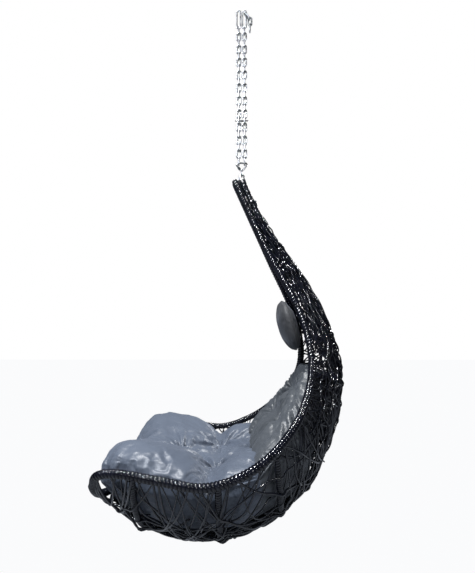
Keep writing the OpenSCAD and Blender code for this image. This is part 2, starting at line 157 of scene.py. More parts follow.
def frames(path):
    """Two directions square to the path at each of its points, carried along without twist."""
    along = unit(np.gradient(path, axis=0))
    u = np.cross(along[0], (0.31, 0.2, 0.93))
    across = []
    for a in along:
        u = unit(u - a * (u @ a))
        across.append(u)
    across = np.array(across)
    return across, np.cross(along, across)


def band(first, second, sides):
    """Quads between two rings of points, from where each ring starts."""
    return [(first + k, first + (k + 1) % sides, second + (k + 1) % sides, second + k) for k in range(sides)]


def face_out(mesh, weld=None):
    """Turns the faces outward, after joining points nearer than weld."""
    bm = bmesh.new()
    bm.from_mesh(mesh)
    if weld:
        bmesh.ops.remove_doubles(bm, verts=bm.verts, dist=weld)
    bmesh.ops.recalc_face_normals(bm, faces=bm.faces)
    bm.to_mesh(mesh)
    bm.free()


def close_ends(mesh):
    """Welds a wound strip's seam, fills the openings at its two ends and turns its faces outward."""
    bm = bmesh.new()
    bm.from_mesh(mesh)
    bmesh.ops.remove_doubles(bm, verts=bm.verts, dist=2e-6)
    bmesh.ops.dissolve_degenerate(bm, dist=1e-6, edges=bm.edges)
    edges = [e for e in bm.edges if e.is_boundary]
    bmesh.ops.holes_fill(bm, edges=edges, sides=0)
    bmesh.ops.recalc_face_normals(bm, faces=bm.faces)
    bm.to_mesh(mesh)
    bm.free()


class Batch:
    """Vertices, faces and point attributes of many strands or turns that make one piece."""

    def __init__(self):
        self.verts, self.faces, self.tone, self.crest, self.count = [], [], [], [], 0

    def add(self, verts, faces, tone, crest):
        self.faces.extend([[k + self.count for k in f] for f in faces])
        self.verts.append(verts)
        self.tone.append(np.broadcast_to(tone, len(verts)))
        self.crest.append(np.broadcast_to(crest, len(verts)))
        self.count += len(verts)


def piece(name, batch, material, stands_for=(), wound=False):
    """A smooth-shaded mesh piece with the batch's tone and crest as attributes."""
    mesh = bpy.data.meshes.new(name)
    mesh.from_pydata(np.vstack(batch.verts).tolist(), [], batch.faces)
    for key, values in (("tone", batch.tone), ("crest", batch.crest)):
        attribute = mesh.attributes.new(key, "FLOAT", "POINT")
        attribute.data.foreach_set("value", np.concatenate(values).astype("f"))
    if wound:
        close_ends(mesh)
    mesh.shade_smooth()
    obj = bpy.data.objects.new(name, mesh)
    bpy.context.scene.collection.objects.link(obj)
    mesh.materials.append(material)
    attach(obj, BODY)
    if stands_for:
        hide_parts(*stands_for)


def add_tube(batch, path, radius, sides, tone, flat=1.0, turn=0.0):
    """A closed tube along a path. flat below 1 makes its section an ellipse."""
    across, up = frames(path)
    a = 2 * math.pi * np.arange(sides) / sides
    c, s = np.cos(a), np.sin(a) * flat
    c, s = c * math.cos(turn) - s * math.sin(turn), c * math.sin(turn) + s * math.cos(turn)
    r = np.broadcast_to(radius, len(path))[:, None, None]
    verts = path[:, None] + r * (across[:, None] * c[None, :, None] + up[:, None] * s[None, :, None])
    n = len(path)
    faces = [quad for i in range(n - 1) for quad in band(i * sides, (i + 1) * sides, sides)]
    faces.append(tuple(range(sides - 1, -1, -1)))
    faces.append(tuple(range((n - 1) * sides, n * sides)))
    batch.add(verts.reshape(-1, 3), faces, tone, 1.0)


# One turn of wound strip: shares of its width, and the share of the groove's depth at each
STRIP_PROFILE = ((0.0, 1.0), (0.12, 0.5), (0.3, 0.14), (0.5, 0.0), (0.7, 0.14), (0.88, 0.5))


def add_winding(batch, path, radius, sides, rng, pitch=STRIP_W, groove=GROOVE, dome=True):
    """A flat strip wound edge to edge round a path, closed by a dome beyond each end."""
    path = resample(path, 2 * MM)
    if dome:
        first, final = unit(path[0] - path[1]), unit(path[-1] - path[-2])
        steps = np.linspace(1, 0.1, 8)[:, None] * radius
        path = np.vstack([path[0] + first * steps, path, path[-1] + final * steps[::-1]])
    s = np.r_[0, np.cumsum(np.linalg.norm(np.diff(path, axis=0), axis=1))]
    across, up = frames(path)
    turns = int(s[-1] / pitch) + 2
    shares = np.array([share for share, _ in STRIP_PROFILE])
    deep = np.array([d for _, d in STRIP_PROFILE])
    tone = np.array([rng.random() for _ in range(turns + 2)])
    lift = np.array([rng.uniform(-TURN_LIFT, TURN_LIFT) for _ in range(turns + 2)])
    per_turn = len(STRIP_PROFILE)
    rings = turns * per_turn
    turn = np.repeat(np.arange(turns), per_turn)
    base = (turn - 1 + np.tile(shares, turns)) * pitch      # where along the path each ring starts
    k = np.arange(sides)
    at = np.clip(base[:, None] + k[None] / sides * pitch, 0, s[-1])
    ends = (at <= 0) | (at >= s[-1])
    inset = np.where(ends, groove, np.tile(deep, turns)[:, None] * groove) - lift[turn][:, None]
    r = radius - np.where(ends, groove, inset)
    if dome:
        near_end = np.minimum(at, s[-1] - at)
        r = r * np.sqrt(np.clip(1 - (1 - np.clip(near_end / radius, 0, 1)) ** 2, 0.0025, 1))
    centre = np.stack([np.interp(at, s, path[:, j]) for j in range(3)], -1)
    u = unit(np.stack([np.interp(at, s, across[:, j]) for j in range(3)], -1))
    v = unit(np.stack([np.interp(at, s, up[:, j]) for j in range(3)], -1))
    a = 2 * math.pi * k / sides
    verts = centre + r[..., None] * (u * np.cos(a)[None, :, None] + v * np.sin(a)[None, :, None])
    faces = []
    for i in range(rings - 1):
        for j in range(sides):
            if j + 1 < sides:
                b, c = i * sides + j + 1, (i + 1) * sides + j + 1
            elif i + 1 + per_turn < rings:
                b, c = (i + per_turn) * sides, (i + 1 + per_turn) * sides
            else:
                continue
            faces.append((i * sides + j, b, c, (i + 1) * sides + j))
    crest = 1 - np.tile(deep, turns)
    batch.add(verts.reshape(-1, 3), faces, np.repeat(tone[turn], sides), np.repeat(crest, sides))


# ---- Materials
def new_material(name):
    material = bpy.data.materials.new(name)
    material.use_nodes = True
    nodes, links = material.node_tree.nodes, material.node_tree.links
    return material, nodes, links, nodes["Principled BSDF"]


def add_node(nodes, kind, **inputs):
    node = nodes.new(kind)
    for key, value in inputs.items():
        node.inputs[key.replace("_", " ")].default_value = value
    return node


def mix_colour(nodes, links, factor, a, b):
    mix = nodes.new("ShaderNodeMix")
    mix.data_type = "RGBA"
    links.new(factor, mix.inputs["Factor"])
    mix.inputs["A"].default_value = (*a, 1)
    mix.inputs["B"].default_value = (*b, 1)
    return mix.outputs["Result"]


def ranged(nodes, links, value, low, high):
    node = nodes.new("ShaderNodeMapRange")
    links.new(value, node.inputs["Value"])
    node.inputs["To Min"].default_value = low
    node.inputs["To Max"].default_value = high
    return node.outputs["Result"]


def bump(nodes, links, shader, height, strength, distance):
    node = nodes.new("ShaderNodeBump")
    node.inputs["Strength"].default_value = strength
    node.inputs["Distance"].default_value = distance
    links.new(height, node.inputs["Height"])
    links.new(node.outputs["Normal"], shader.inputs["Normal"])


def rattan(name, dark, light, rough):
    """Extruded synthetic strip: near black, glossy, with fine drawn lines and a tone for each strand."""
    material, nodes, links, shader = new_material(name)
    tone, crest = nodes.new("ShaderNodeAttribute"), nodes.new("ShaderNodeAttribute")
    tone.attribute_name, crest.attribute_name = "tone", "crest"
    links.new(mix_colour(nodes, links, tone.outputs["Fac"], dark, light), shader.inputs["Base Color"])
    links.new(ranged(nodes, links, crest.outputs["Fac"], 0, 0.75), shader.inputs["Specular IOR Level"])
    links.new(ranged(nodes, links, crest.outputs["Fac"], 0, 0.35), shader.inputs["Coat Weight"])
    place = nodes.new("ShaderNodeTexCoord")
    smear = add_node(nodes, "ShaderNodeTexNoise", Scale=60.0, Detail=3.0, Roughness=0.6)
    links.new(place.outputs["Object"], smear.inputs["Vector"])
    links.new(ranged(nodes, links, smear.outputs["Fac"], rough[0], rough[1]), shader.inputs["Roughness"])
    grain = add_node(nodes, "ShaderNodeTexNoise", Scale=900.0, Detail=2.0, Roughness=0.5)
    links.new(place.outputs["Object"], grain.inputs["Vector"])
    bump(nodes, links, shader, grain.outputs["Fac"], 0.25, 0.0003)
    shader.inputs["Coat Roughness"].default_value = 0.1
    return material


def cloth(name, dark, light, rough, sheen, thread=1500.0):
    """Woven polyester: fine twill lines, a soft sheen and slow changes of tone."""
    material, nodes, links, shader = new_material(name)
    place = nodes.new("ShaderNodeTexCoord")
    cloud = add_node(nodes, "ShaderNodeTexNoise", Scale=7.0, Detail=4.0, Roughness=0.55)
    links.new(place.outputs["Object"], cloud.inputs["Vector"])
    links.new(mix_colour(nodes, links, cloud.outputs["Fac"], dark, light), shader.inputs["Base Color"])
    links.new(ranged(nodes, links, cloud.outputs["Fac"], rough[0], rough[1]), shader.inputs["Roughness"])
    warp = nodes.new("ShaderNodeTexWave")
    warp.inputs["Scale"].default_value = thread / 6
    warp.bands_direction = "DIAGONAL"
    links.new(place.outputs["Object"], warp.inputs["Vector"])
    weft = add_node(nodes, "ShaderNodeTexNoise", Scale=thread, Detail=1.0)
    links.new(place.outputs["Object"], weft.inputs["Vector"])
    both = nodes.new("ShaderNodeMath")
    both.operation = "ADD"
    links.new(warp.outputs["Fac"], both.inputs[0])
    links.new(weft.outputs["Fac"], both.inputs[1])
    bump(nodes, links, shader, both.outputs[0], 0.12, 0.0003)
    shader.inputs["Sheen Weight"].default_value = sheen
    shader.inputs["Sheen Roughness"].default_value = 0.4
    shader.inputs["Sheen Tint"].default_value = (0.75, 0.82, 1, 1)
    return material


def zinc(name):
    """Bright zinc plate: mottled tone and roughness, fine scratches."""
    material, nodes, links, shader = new_material(name)
    place = nodes.new("ShaderNodeTexCoord")
    spots = add_node(nodes, "ShaderNodeTexNoise", Scale=140.0, Detail=4.0, Roughness=0.65)
    links.new(place.outputs["Object"], spots.inputs["Vector"])
    tone = mix_colour(nodes, links, spots.outputs["Fac"], (0.22, 0.23, 0.25), (0.62, 0.63, 0.65))
    links.new(tone, shader.inputs["Base Color"])
    links.new(ranged(nodes, links, spots.outputs["Fac"], 0.16, 0.42), shader.inputs["Roughness"])
    shader.inputs["Metallic"].default_value = 1
    scratch = add_node(nodes, "ShaderNodeTexNoise", Scale=700.0, Detail=2.0)
    links.new(place.outputs["Object"], scratch.inputs["Vector"])
    bump(nodes, links, shader, scratch.outputs["Fac"], 0.3, 0.0002)
    return material


def black_paint(name):
    """Powder coat on the frame tubes: satin black with orange peel and worn patches."""
    material, nodes, links, shader = new_material(name)
    place = nodes.new("ShaderNodeTexCoord")
    wear = add_node(nodes, "ShaderNodeTexNoise", Scale=45.0, Detail=5.0)
    links.new(place.outputs["Object"], wear.inputs["Vector"])
    tone = mix_colour(nodes, links, wear.outputs["Fac"], (0.008, 0.008, 0.011), (0.03, 0.03, 0.035))
    links.new(tone, shader.inputs["Base Color"])
    links.new(ranged(nodes, links, wear.outputs["Fac"], 0.3, 0.5), shader.inputs["Roughness"])
    peel = add_node(nodes, "ShaderNodeTexNoise", Scale=500.0, Detail=1.0)
    links.new(place.outputs["Object"], peel.inputs["Vector"])
    bump(nodes, links, shader, peel.outputs["Fac"], 0.3, 0.0003)
    return material


STRIP = rattan("wound_strip", (0.002, 0.0023, 0.005), (0.006, 0.007, 0.013), (0.08, 0.20))
STRAND = rattan("woven_strand", (0.002, 0.0023, 0.005), (0.007, 0.008, 0.014), (0.07, 0.20))
SEAT_CLOTH = cloth("seat_cloth", (0.068, 0.081, 0.108), (0.1, 0.12, 0.158), (0.34, 0.48), 0.2)
# The back cushion's cloth is greyer than the seat's and darker; the darkening is partly painted shade of the
# less lit back of the basket
BACK_CLOTH = cloth("back_cloth", (0.048, 0.053, 0.058), (0.075, 0.083, 0.095), (0.32, 0.45), 0.15)
PILLOW_CLOTH = cloth("pillow_cloth", (0.035, 0.036, 0.038), (0.055, 0.056, 0.06), (0.45, 0.6), 0.1)
ZINC = zinc("zinc_plate")
PAINT = black_paint("powder_coat")


# ---- Wound tubes
def every(start, end):
    return np.linspace(start, end, 400)


def build_windings():
    rng = random.Random(11)
    rail_sides, spine_sides, rib_sides = 18, 16, 12
    for name, side in (("left_rail_winding", 1), ("right_rail_winding", -1)):
        batch = Batch()
        add_winding(batch, rail(every(0, LAST), side), WRAP_R, rail_sides, rng)
        piece(name, batch, STRIP, (name.replace("winding", "wrap"),), wound=True)
    batch = Batch()
    add_winding(batch, spine(every(0.03, LAST)), WRAP_R, spine_sides, rng)
    piece("spine_winding", batch, STRIP, ("spine_wrap",), wound=True)
    batch = Batch()
    add_winding(batch, basket(LAST, every(-1, 1)), WRAP_R, rail_sides, rng)
    piece("front_rail_winding", batch, STRIP, ("front_rail_wrap",), wound=True)
    batch = Batch()
    for t in RIB_AT:
        add_winding(batch, basket(t, every(-1, 1)), RIB_WRAP_R, rib_sides, rng, RIB_STRIP_W, RIB_GROOVE,
                    dome=False)
    piece("rib_windings", batch, STRIP, ("rib_wraps",), wound=True)


# ---- Woven strands
def lift_over(t, across, radius, over):
    """How far out a strand has to run to pass the spine and the ribs. over is 1 outside them, -1 inside."""
    half = station(t)[..., 0]
    lift = 0.9 * (WRAP_R + radius) * np.exp(-(across * half / SPINE_PASS) ** 2)
    per_station = np.linalg.norm(basket(t + 0.05, across) - basket(t - 0.05, across), axis=-1) / 0.1
    for rib in RIB_AT:
        near = np.exp(-((t - rib) * per_station / RIB_PASS) ** 2)
        lift = np.maximum(lift, (RIB_WRAP_R + radius) * near)
    return over * lift


def strand(batch, rng, start, end, sag=(0.0, 0.0), radius=STRAND_R, lift=0.0):
    """A strand on the basket from one (t, across) to another, bowed by sag on the way. An end that isn't on
    a rail is tucked into the weave."""
    u = np.linspace(0, 1, 160)
    bow = np.sin(math.pi * u)
    t = np.clip(start[0] + (end[0] - start[0]) * u + sag[0] * bow, 0.25, LAST)
    across = np.clip(start[1] + (end[1] - start[1]) * u + sag[1] * bow, -1, 1)
    wave = rng.uniform(1.5, 3.0) * MM * np.sin(2 * math.pi * (rng.uniform(1, 4) * u + rng.random()))
    out = lift + wave * bow + lift_over(t, across, radius, rng.choice((1, 1, -1)))
    for place, way in ((start, u), (end, 1 - u)):
        if abs(place[1]) < 1:
            out -= TUCK * np.exp(-(way / 0.07) ** 2)
    path = resample(basket(t, across) + outward(t, across) * out[:, None], 8 * MM)
    flat = rng.choice((1.0, 1.0, 0.62))
    add_tube(batch, path, radius, 7, rng.random(), flat, rng.uniform(0, math.pi))


def spine_coil(batch, rng, t0, t1, turns, radius):
    """A strand wound loosely round the spine from station t0 to t1, with its ends drawn in."""
    u = np.linspace(0, 1, 500)
    t = t0 + (t1 - t0) * u
    centre = spine(t)
    angle = 2 * math.pi * (turns * u + rng.random()) + 0.8 * np.sin(2 * math.pi * rng.uniform(2, 5) * u)
    reach = WRAP_R + radius * (1.0 + 0.6 * rng.random())
    reach = reach + 2 * MM * np.sin(2 * math.pi * rng.uniform(3, 8) * u)
    reach = reach * (1 - 0.45 * np.exp(-(u / 0.03) ** 2) - 0.45 * np.exp(-((1 - u) / 0.03) ** 2))
    side = np.array((1.0, 0, 0)) * np.cos(angle)[:, None] * 1.5
    path = centre + reach[:, None] * (side - inward(t) * np.sin(angle)[:, None])
    add_tube(batch, resample(path, 7 * MM), radius, 7, rng.random())


def pick_radius(rng):
    return STRAND_R * rng.choice((0.75, 0.9, 1.0, 1.0, 1.15, 1.3))


def loose_strand(batch, rng, start, end, sag, low, high):
    """A strand of a random thickness lying low to high millimetres off the basket."""
    radius = pick_radius(rng)
    strand(batch, rng, start, end, sag, radius, rng.uniform(low, high) * MM)


def weave_seat(rng, batch):
    """The open weave under the seat: stations 6.4 to 12.95, thickest by the rails and along the spine."""
    front = 12.95
    for _ in range(6):                      # rail to rail
        t0 = rng.uniform(7.2, 12.4)
        t1 = min(12.8, max(7, t0 + rng.uniform(-3, 3)))
        loose_strand(batch, rng, (t0, -1), (t1, 1), (rng.uniform(-0.6, 0.6), 0), -2, 3)
    for side in BOTH:
        for k in range(17):                 # rail to spine
            t0 = 6.9 + 5.6 * (k + rng.random()) / 17
            t1 = min(12.9, max(6.6, t0 + rng.choice(BOTH) * rng.uniform(0.7, 3.2)))
            sag = (rng.uniform(-0.4, 0.4), side * rng.uniform(-0.1, 0.3))
            loose_strand(batch, rng, (t0, side), (t1, side * rng.uniform(0, 0.2)), sag, -2, 3)
        for k in range(12):                 # a rail and back to it further on
            t0 = 6.6 + 4.8 * (k + rng.random()) / 12
            t1 = min(front, t0 + rng.uniform(1.0, 3.6))
            loose_strand(batch, rng, (t0, side), (t1, side), (0, -side * rng.uniform(0.12, 0.6)), -2, 3)
        for k in range(11):                 # along the bowl between rail and spine
            t0 = 6.4 + 4.6 * (k + rng.random()) / 11
            t1 = min(front, t0 + rng.uniform(1.6, 4.0))
            start, end = (t0, side * rng.uniform(0.1, 0.8)), (t1, side * rng.uniform(0.1, 0.8))
            loose_strand(batch, rng, start, end, (0, side * rng.uniform(-0.3, 0.3)), -2, 4)
        for _ in range(30):                 # close along the spine
            t0 = rng.uniform(6.4, 11.6)
            t1 = min(front, t0 + rng.uniform(0.6, 2.2))
            start, end = (t0, side * rng.uniform(0, 0.15)), (t1, side * rng.uniform(0, 0.15))
            loose_strand(batch, rng, start, end, (0, side * rng.uniform(0.05, 0.28)), -3, 2)


def weave_back(rng, batch):
    """The denser weave of the back: stations 0.45 to 7.8."""
    for side in BOTH:
        for _ in range(78):                 # rail to spine
            t0 = rng.uniform(0.6, 6.9)
            t1 = min(7.6, max(0.45, t0 + rng.choice(BOTH) * rng.uniform(0.2, 1.8)))
            sag = (rng.uniform(-0.3, 0.3), side * rng.uniform(-0.2, 0.25))
            loose_strand(batch, rng, (t0, side), (t1, side * rng.uniform(-0.1, 0.2)), sag, -3, 4)
        for _ in range(64):                 # along the back between rail and spine
            t0 = rng.uniform(0.5, 6.0)
            a = rng.uniform(0.1, 0.95)
            t1 = min(7.8, t0 + rng.uniform(1.0, 2.6))
            b = min(0.95, max(0.02, a + rng.uniform(-0.6, 0.6)))
            loose_strand(batch, rng, (t0, side * a), (t1, side * b), (0, side * rng.uniform(-0.3, 0.3)), -4, 5)
    for _ in range(12):                     # rail to rail
        t0 = rng.uniform(3.5, 7.0)
        t1 = min(7.3, t0 + rng.uniform(-1, 1))
        loose_strand(batch, rng, (t0, -1), (t1, 1), (rng.uniform(-0.3, 0.3), 0), -2, 3)


def coil_spine(rng, batch):
    for _ in range(30):
        t0 = rng.uniform(0.4, 11)
        t1 = min(12.9, t0 + rng.uniform(1.6, 4.0))
        turns = rng.uniform(1.2, 5.0) * rng.choice(BOTH)
        spine_coil(batch, rng, t0, t1, turns, pick_radius(rng))


def build_weave():
    rng = random.Random(29)
    seat, back, coils = Batch(), Batch(), Batch()
    weave_seat(rng, seat)
    weave_back(rng, back)
    coil_spine(rng, coils)
    piece("seat_weave", seat, STRAND, ("left_seat_weave", "right_seat_weave"))
    piece("back_weave", back, STRAND, ("left_back_weave", "right_back_weave"))
    piece("spine_coils", coils, STRAND)


# ---- Cushions. A place on one is (f, share): f runs along the spine from the cushion's first station (0) to
# its last (1), and share from the middle (0) to a side (-1 or 1).
TUFT = 22 * MM              # how deep a button draws the cushion in
TUFT_R = 34 * MM            # and how far round it
EDGE_T = 20 * MM            # thickness at the edge
CUSHION_GAP = 26 * MM       # height of the underside over the basket
SIDE_GAP = 24 * MM          # distance from the rail's winding
CROWN_POWER = 6             # how squarely the top turns down at the sides
FOLD_REACH = 48 * MM        # how far folds run out from a button
GATHER_REACH = 42 * MM      # how far puckers run in from the edge
PIPING_R = 2.6 * MM
PIPING_H = 17 * MM          # height of the piping over the underside
BUTTON_R = 13 * MM
# A button's rings: shares of its radius, and heights in millimetres
BUTTON_RINGS = ((0.0, 5.2), (0.4, 4.9), (0.75, 3.8), (0.93, 2.2), (1.0, 0.6), (0.9, -1.2))


def smooth_step(f):
    f = np.clip(f, 0, 1)
    return f * f * (3 - 2 * f)


class Pad:
    """A cushion lying in the basket, with the CAD cushion's outline. start and end are stations, rise and
    hollow are functions of f, tufts are places, a crease is (places, depth, width), puff is how far the
    filling swells it, and wrinkles are the heights of its folds, its gathers and its fine creases."""

    def __init__(self, name, start, end, rise, hollow, tufts, creases, puff, wrinkles):
        self.name, self.start, self.end = name, start, end
        self.rise, self.hollow, self.tufts = rise, hollow, tufts
        self.creases, self.puff, self.wrinkles = creases, puff, wrinkles

    def t(self, f):
        return self.start + (self.end - self.start) * np.asarray(f, float)

    def swell(self, f):
        return np.sin(math.pi * np.clip(f, 0, 1)) ** 0.4

    def reach(self, f):
        return (station(self.t(f))[..., 0] - WRAP_R - SIDE_GAP) * (0.86 + 0.14 * self.swell(f))

    def low(self, f, share):
        x = share * self.reach(f)
        t = self.t(f)
        return depth(t) * bowl(x / station(t)[..., 0]) + CUSHION_GAP + 14 * MM * (1 - self.swell(f))

    def top(self, f, share):
        swell = self.swell(f)
        rim = self.low(f, 1) + EDGE_T * (0.4 + 0.6 * swell)
        crown = np.maximum(4 * MM, depth(self.t(f)) + self.rise(f) - rim) * (0.5 + 0.5 * swell)
        hollow = self.hollow(f) * np.cos(math.pi / 2 * share) ** 2
        return rim + crown * (1 - np.abs(share) ** CROWN_POWER) - hollow

    def at(self, f, share, height):
        t = self.t(f)
        p = spine(t) + inward(t) * np.asarray(height, float)[..., None]
        p[..., 0] += share * self.reach(f)
        return p

    def surface(self, f, share, extra=0.0):
        f, share = np.broadcast_arrays(np.asarray(f, float), np.asarray(share, float))
        return self.at(f, share, self.top(f, share) + extra)


def polyline(points, n=24):
    """n places spread along the line through the given ones."""
    points = np.array(points, float)
    q = np.linspace(0, len(points) - 1, n)
    return np.stack([np.interp(q, np.arange(len(points)), points[:, k]) for k in range(2)], 1)


def nearest(points, targets):
    """Distance from each point to the nearest of the targets."""
    out = np.empty(len(points))
    for i in range(0, len(points), 4000):
        d = points[i:i + 4000, None] - targets[None]
        out[i:i + 4000] = np.sqrt((d ** 2).sum(-1).min(1))
    return out


def pull_in(pad, points):
    """How deep the creases and tufts draw the cushion in at each point."""
    deep = np.zeros(len(points))
    for line, depth_of, width in pad.creases:
        d = nearest(points, pad.surface(*polyline(line).T))
        deep = np.maximum(deep, depth_of * np.exp(-d / width))
    for f, share in pad.tufts:
        d = nearest(points, pad.surface([f], [share]))
        deep = np.maximum(deep, (TUFT + pad.puff) * np.exp(-(d / TUFT_R) ** 1.5))
    return deep


def pad_shell(pad, steps=60, sides=72):
    """Vertices and faces of the closed, tufted shell, a little smaller than the finished cushion."""
    f, share = np.meshgrid(np.linspace(0, 1, steps + 1), np.linspace(-1, 1, sides + 1), indexing="ij")
    f, share = 0.012 + 0.976 * f.ravel(), 0.975 * share.ravel()
    top = pad.surface(f, share, pad.puff * 0.6 * pad.swell(f))
    top -= inward(pad.t(f)) * pull_in(pad, pad.surface(f, share))[:, None]
    low = pad.at(f, share, pad.low(f, share) + 2 * MM)
    gap = ((top - low) * inward(pad.t(f))).sum(1)
    top += inward(pad.t(f)) * np.maximum(0, 16 * MM - gap)[:, None]
    verts = np.vstack([top, low])
    w, n = sides + 1, (steps + 1) * (sides + 1)
    faces = []
    for i in range(steps):
        for k in range(sides):
            a, b, c, d = i * w + k, i * w + k + 1, (i + 1) * w + k + 1, (i + 1) * w + k
            faces.append((a, b, c, d))
            faces.append((n + d, n + c, n + b, n + a))
    ring = list(range(sides)) + [i * w + sides for i in range(steps)]
    ring += [steps * w + k for k in range(sides, 0, -1)] + [i * w for i in range(steps, 0, -1)]
    for a, b in zip(ring, ring[1:] + ring[:1]):
        faces.append((b, a, n + a, n + b))
    return verts, faces


def coords(mesh):
    out = np.empty(len(mesh.vertices) * 3)
    mesh.vertices.foreach_get("co", out)
    return out.reshape(-1, 3)


def set_coords(mesh, co):
    mesh.vertices.foreach_set("co", co.ravel())
    mesh.update()


def shown(name, verts, faces):
    mesh = bpy.data.meshes.new(name)
    mesh.from_pydata(np.asarray(verts).tolist(), [], faces)
    obj = bpy.data.objects.new(name, mesh)
    bpy.context.scene.collection.objects.link(obj)
    face_out(mesh)
    return obj


def bake_modifiers(obj):
    """Replaces the object's mesh with what its modifiers make of it."""
    bpy.context.view_layer.update()
    made = bpy.data.meshes.new_from_object(obj.evaluated_get(bpy.context.evaluated_depsgraph_get()))
    obj.modifiers.clear()
    obj.data = made


def remesh(obj, voxel, smooth):
    modifier = obj.modifiers.new("remesh", "REMESH")
    modifier.mode, modifier.voxel_size = "VOXEL", voxel
    soften = obj.modifiers.new("soften", "SMOOTH")
    soften.iterations, soften.factor = smooth, 0.5
    bake_modifiers(obj)


def hold(obj, weights):
    """A vertex group that pins the cloth by the given weights, rounded to tenths."""
    group = obj.vertex_groups.new(name="hold")
    for level in np.unique(np.round(weights, 1)):
        if level > 0:
            group.add(np.nonzero(np.round(weights, 1) == level)[0].tolist(), float(level), "REPLACE")
    return group.name


def add_cloth(obj, group, pressure, slack):
    """Cloth blown up by its filling, with slack as the share it may stretch to."""
    cloth_mod = obj.modifiers.new("cloth", "CLOTH")
    setting = cloth_mod.settings
    setting.quality = 6
    setting.mass = 0.25
    setting.tension_stiffness = setting.compression_stiffness = 18
    setting.shear_stiffness = 8
    setting.bending_stiffness = 0.35
    setting.use_pressure = True
    setting.uniform_pressure_force = pressure
    setting.effector_weights.gravity = 0
    setting.vertex_group_mass = group
    setting.pin_stiffness = 1.0
    setting.shrink_min = -slack
    cloth_mod.collision_settings.use_collision = False


SIM_FRAMES = 20


def run_cloth(objects, caps):
    """Steps every cloth together, then keeps each point's move up to its object's cap."""
    before = [coords(o.data) for o in objects]
    for step in range(1, SIM_FRAMES + 1):
        bpy.context.scene.frame_set(step)
    for obj, rest, cap in zip(objects, before, caps):
        bake_modifiers(obj)
        move = coords(obj.data) - rest
        size = np.linalg.norm(move, axis=1, keepdims=True)
        set_coords(obj.data, rest + move * np.minimum(1, cap / np.maximum(size, 1e-9)))
    bpy.context.scene.frame_set(1)


def subdivide(obj):
    modifier = obj.modifiers.new("fine", "SUBSURF")
    modifier.levels = modifier.render_levels = 1
    bake_modifiers(obj)


def normals(mesh):
    out = np.empty(len(mesh.vertices) * 3, "f")
    mesh.vertices.foreach_get("normal", out)
    return out.reshape(-1, 3).astype(float)


def folds(rng, low, high, count=5):
    """A random wave made of a few wavelengths between low and high, sharpened into folds."""
    parts = [(rng.uniform(0.5, 1), 2 * math.pi / rng.uniform(low, high), rng.uniform(0, 6.28))
             for _ in range(count)]
    return lambda x: np.tanh(sum(a * np.cos(k * x + p) for a, k, p in parts))


def radial_folds(pad, co, rng, height, reach):
    """Soft folds that run out from each tuft."""
    add = np.zeros(len(co))
    for f, share in pad.tufts:
        up = inward(pad.t(f))
        side = unit(np.cross(up, (1.0, 0.1, 0.0)))
        d = co - pad.surface(f, share)
        angle, far = np.arctan2(d @ np.cross(up, side), d @ side), np.linalg.norm(d, axis=1)
        wave = np.zeros(len(co))
        for _ in range(6):
            k, turn, twist = rng.randint(5, 15), rng.uniform(0, 6.28), rng.uniform(-9, 9)
            wave += rng.uniform(0.4, 1) * np.cos(k * angle + turn + twist * far)
        add += height * np.tanh(wave) * (far / reach) * np.exp(1 - far / reach) * (far < 5 * reach)
    return add


def places(pad, co):
    """The f and share of the nearest place on the cushion's top to each point."""
    grid = np.meshgrid(np.linspace(0, 1, 90), np.linspace(-1, 1, 100), indexing="ij")
    f, share = grid[0].ravel(), grid[1].ravel()
    tree = KDTree(len(f))
    for i, p in enumerate(pad.surface(f, share)):
        tree.insert(p, i)
    tree.balance()
    near = np.array([tree.find(p)[1] for p in co])
    return f[near], share[near]


def gathers(pad, co, rng, height, reach):
    """Puckers where the cover is sewn to its edge, running in from every side."""
    f, share = places(pad, co)
    length = np.linalg.norm(pad.surface(1, 0.6) - pad.surface(0, 0.6))
    across = pad.reach(f)
    add = np.zeros(len(co))
    for gap, along in (((1 - np.abs(share)) * across, f * length + 0.3 * np.sign(share)),
                       ((1 - f) * length, share * across), (f * length, share * across + 2)):
        wave = folds(rng, 0.03, 0.085)(along + 0.4 * gap)
        slow = 0.5 + 0.5 * folds(rng, 0.15, 0.4, 3)(along)
        add += height * wave * slow * np.exp(-gap / reach)
    return add


def crumple(co, rng, height):
    """Creased cloth between the folds: noise that turns at sharp ridges."""
    add = np.zeros(len(co))
    offset = Vector([rng.uniform(-50, 50) for _ in range(3)])
    for size, share in ((0.09, 1.0), (0.045, 0.5), (0.02, 0.2)):
        add += share * np.array([0.5 - abs(noise.noise(Vector(p) / size + offset)) for p in co])
    return height * (add - add.mean())


def wrinkle(obj, pad, rng, fold, gather, small):
    """Moves the cover's points out and in by its folds, gathers and fine creases."""
    co, way = coords(obj.data), normals(obj.data)
    add = radial_folds(pad, co, rng, fold, FOLD_REACH) + gathers(pad, co, rng, gather, GATHER_REACH)
    add += crumple(co, rng, small)
    set_coords(obj.data, co + way * add[:, None])


def finish_soft(obj, material, stands_for):
    obj.data.materials.clear()
    obj.data.materials.append(material)
    obj.data.shade_smooth()
    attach(obj, BODY)
    if stands_for:
        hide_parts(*stands_for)


def tree_of(obj):
    mesh = obj.data
    return BVHTree.FromPolygons([v.co for v in mesh.vertices], [tuple(p.vertices) for p in mesh.polygons])


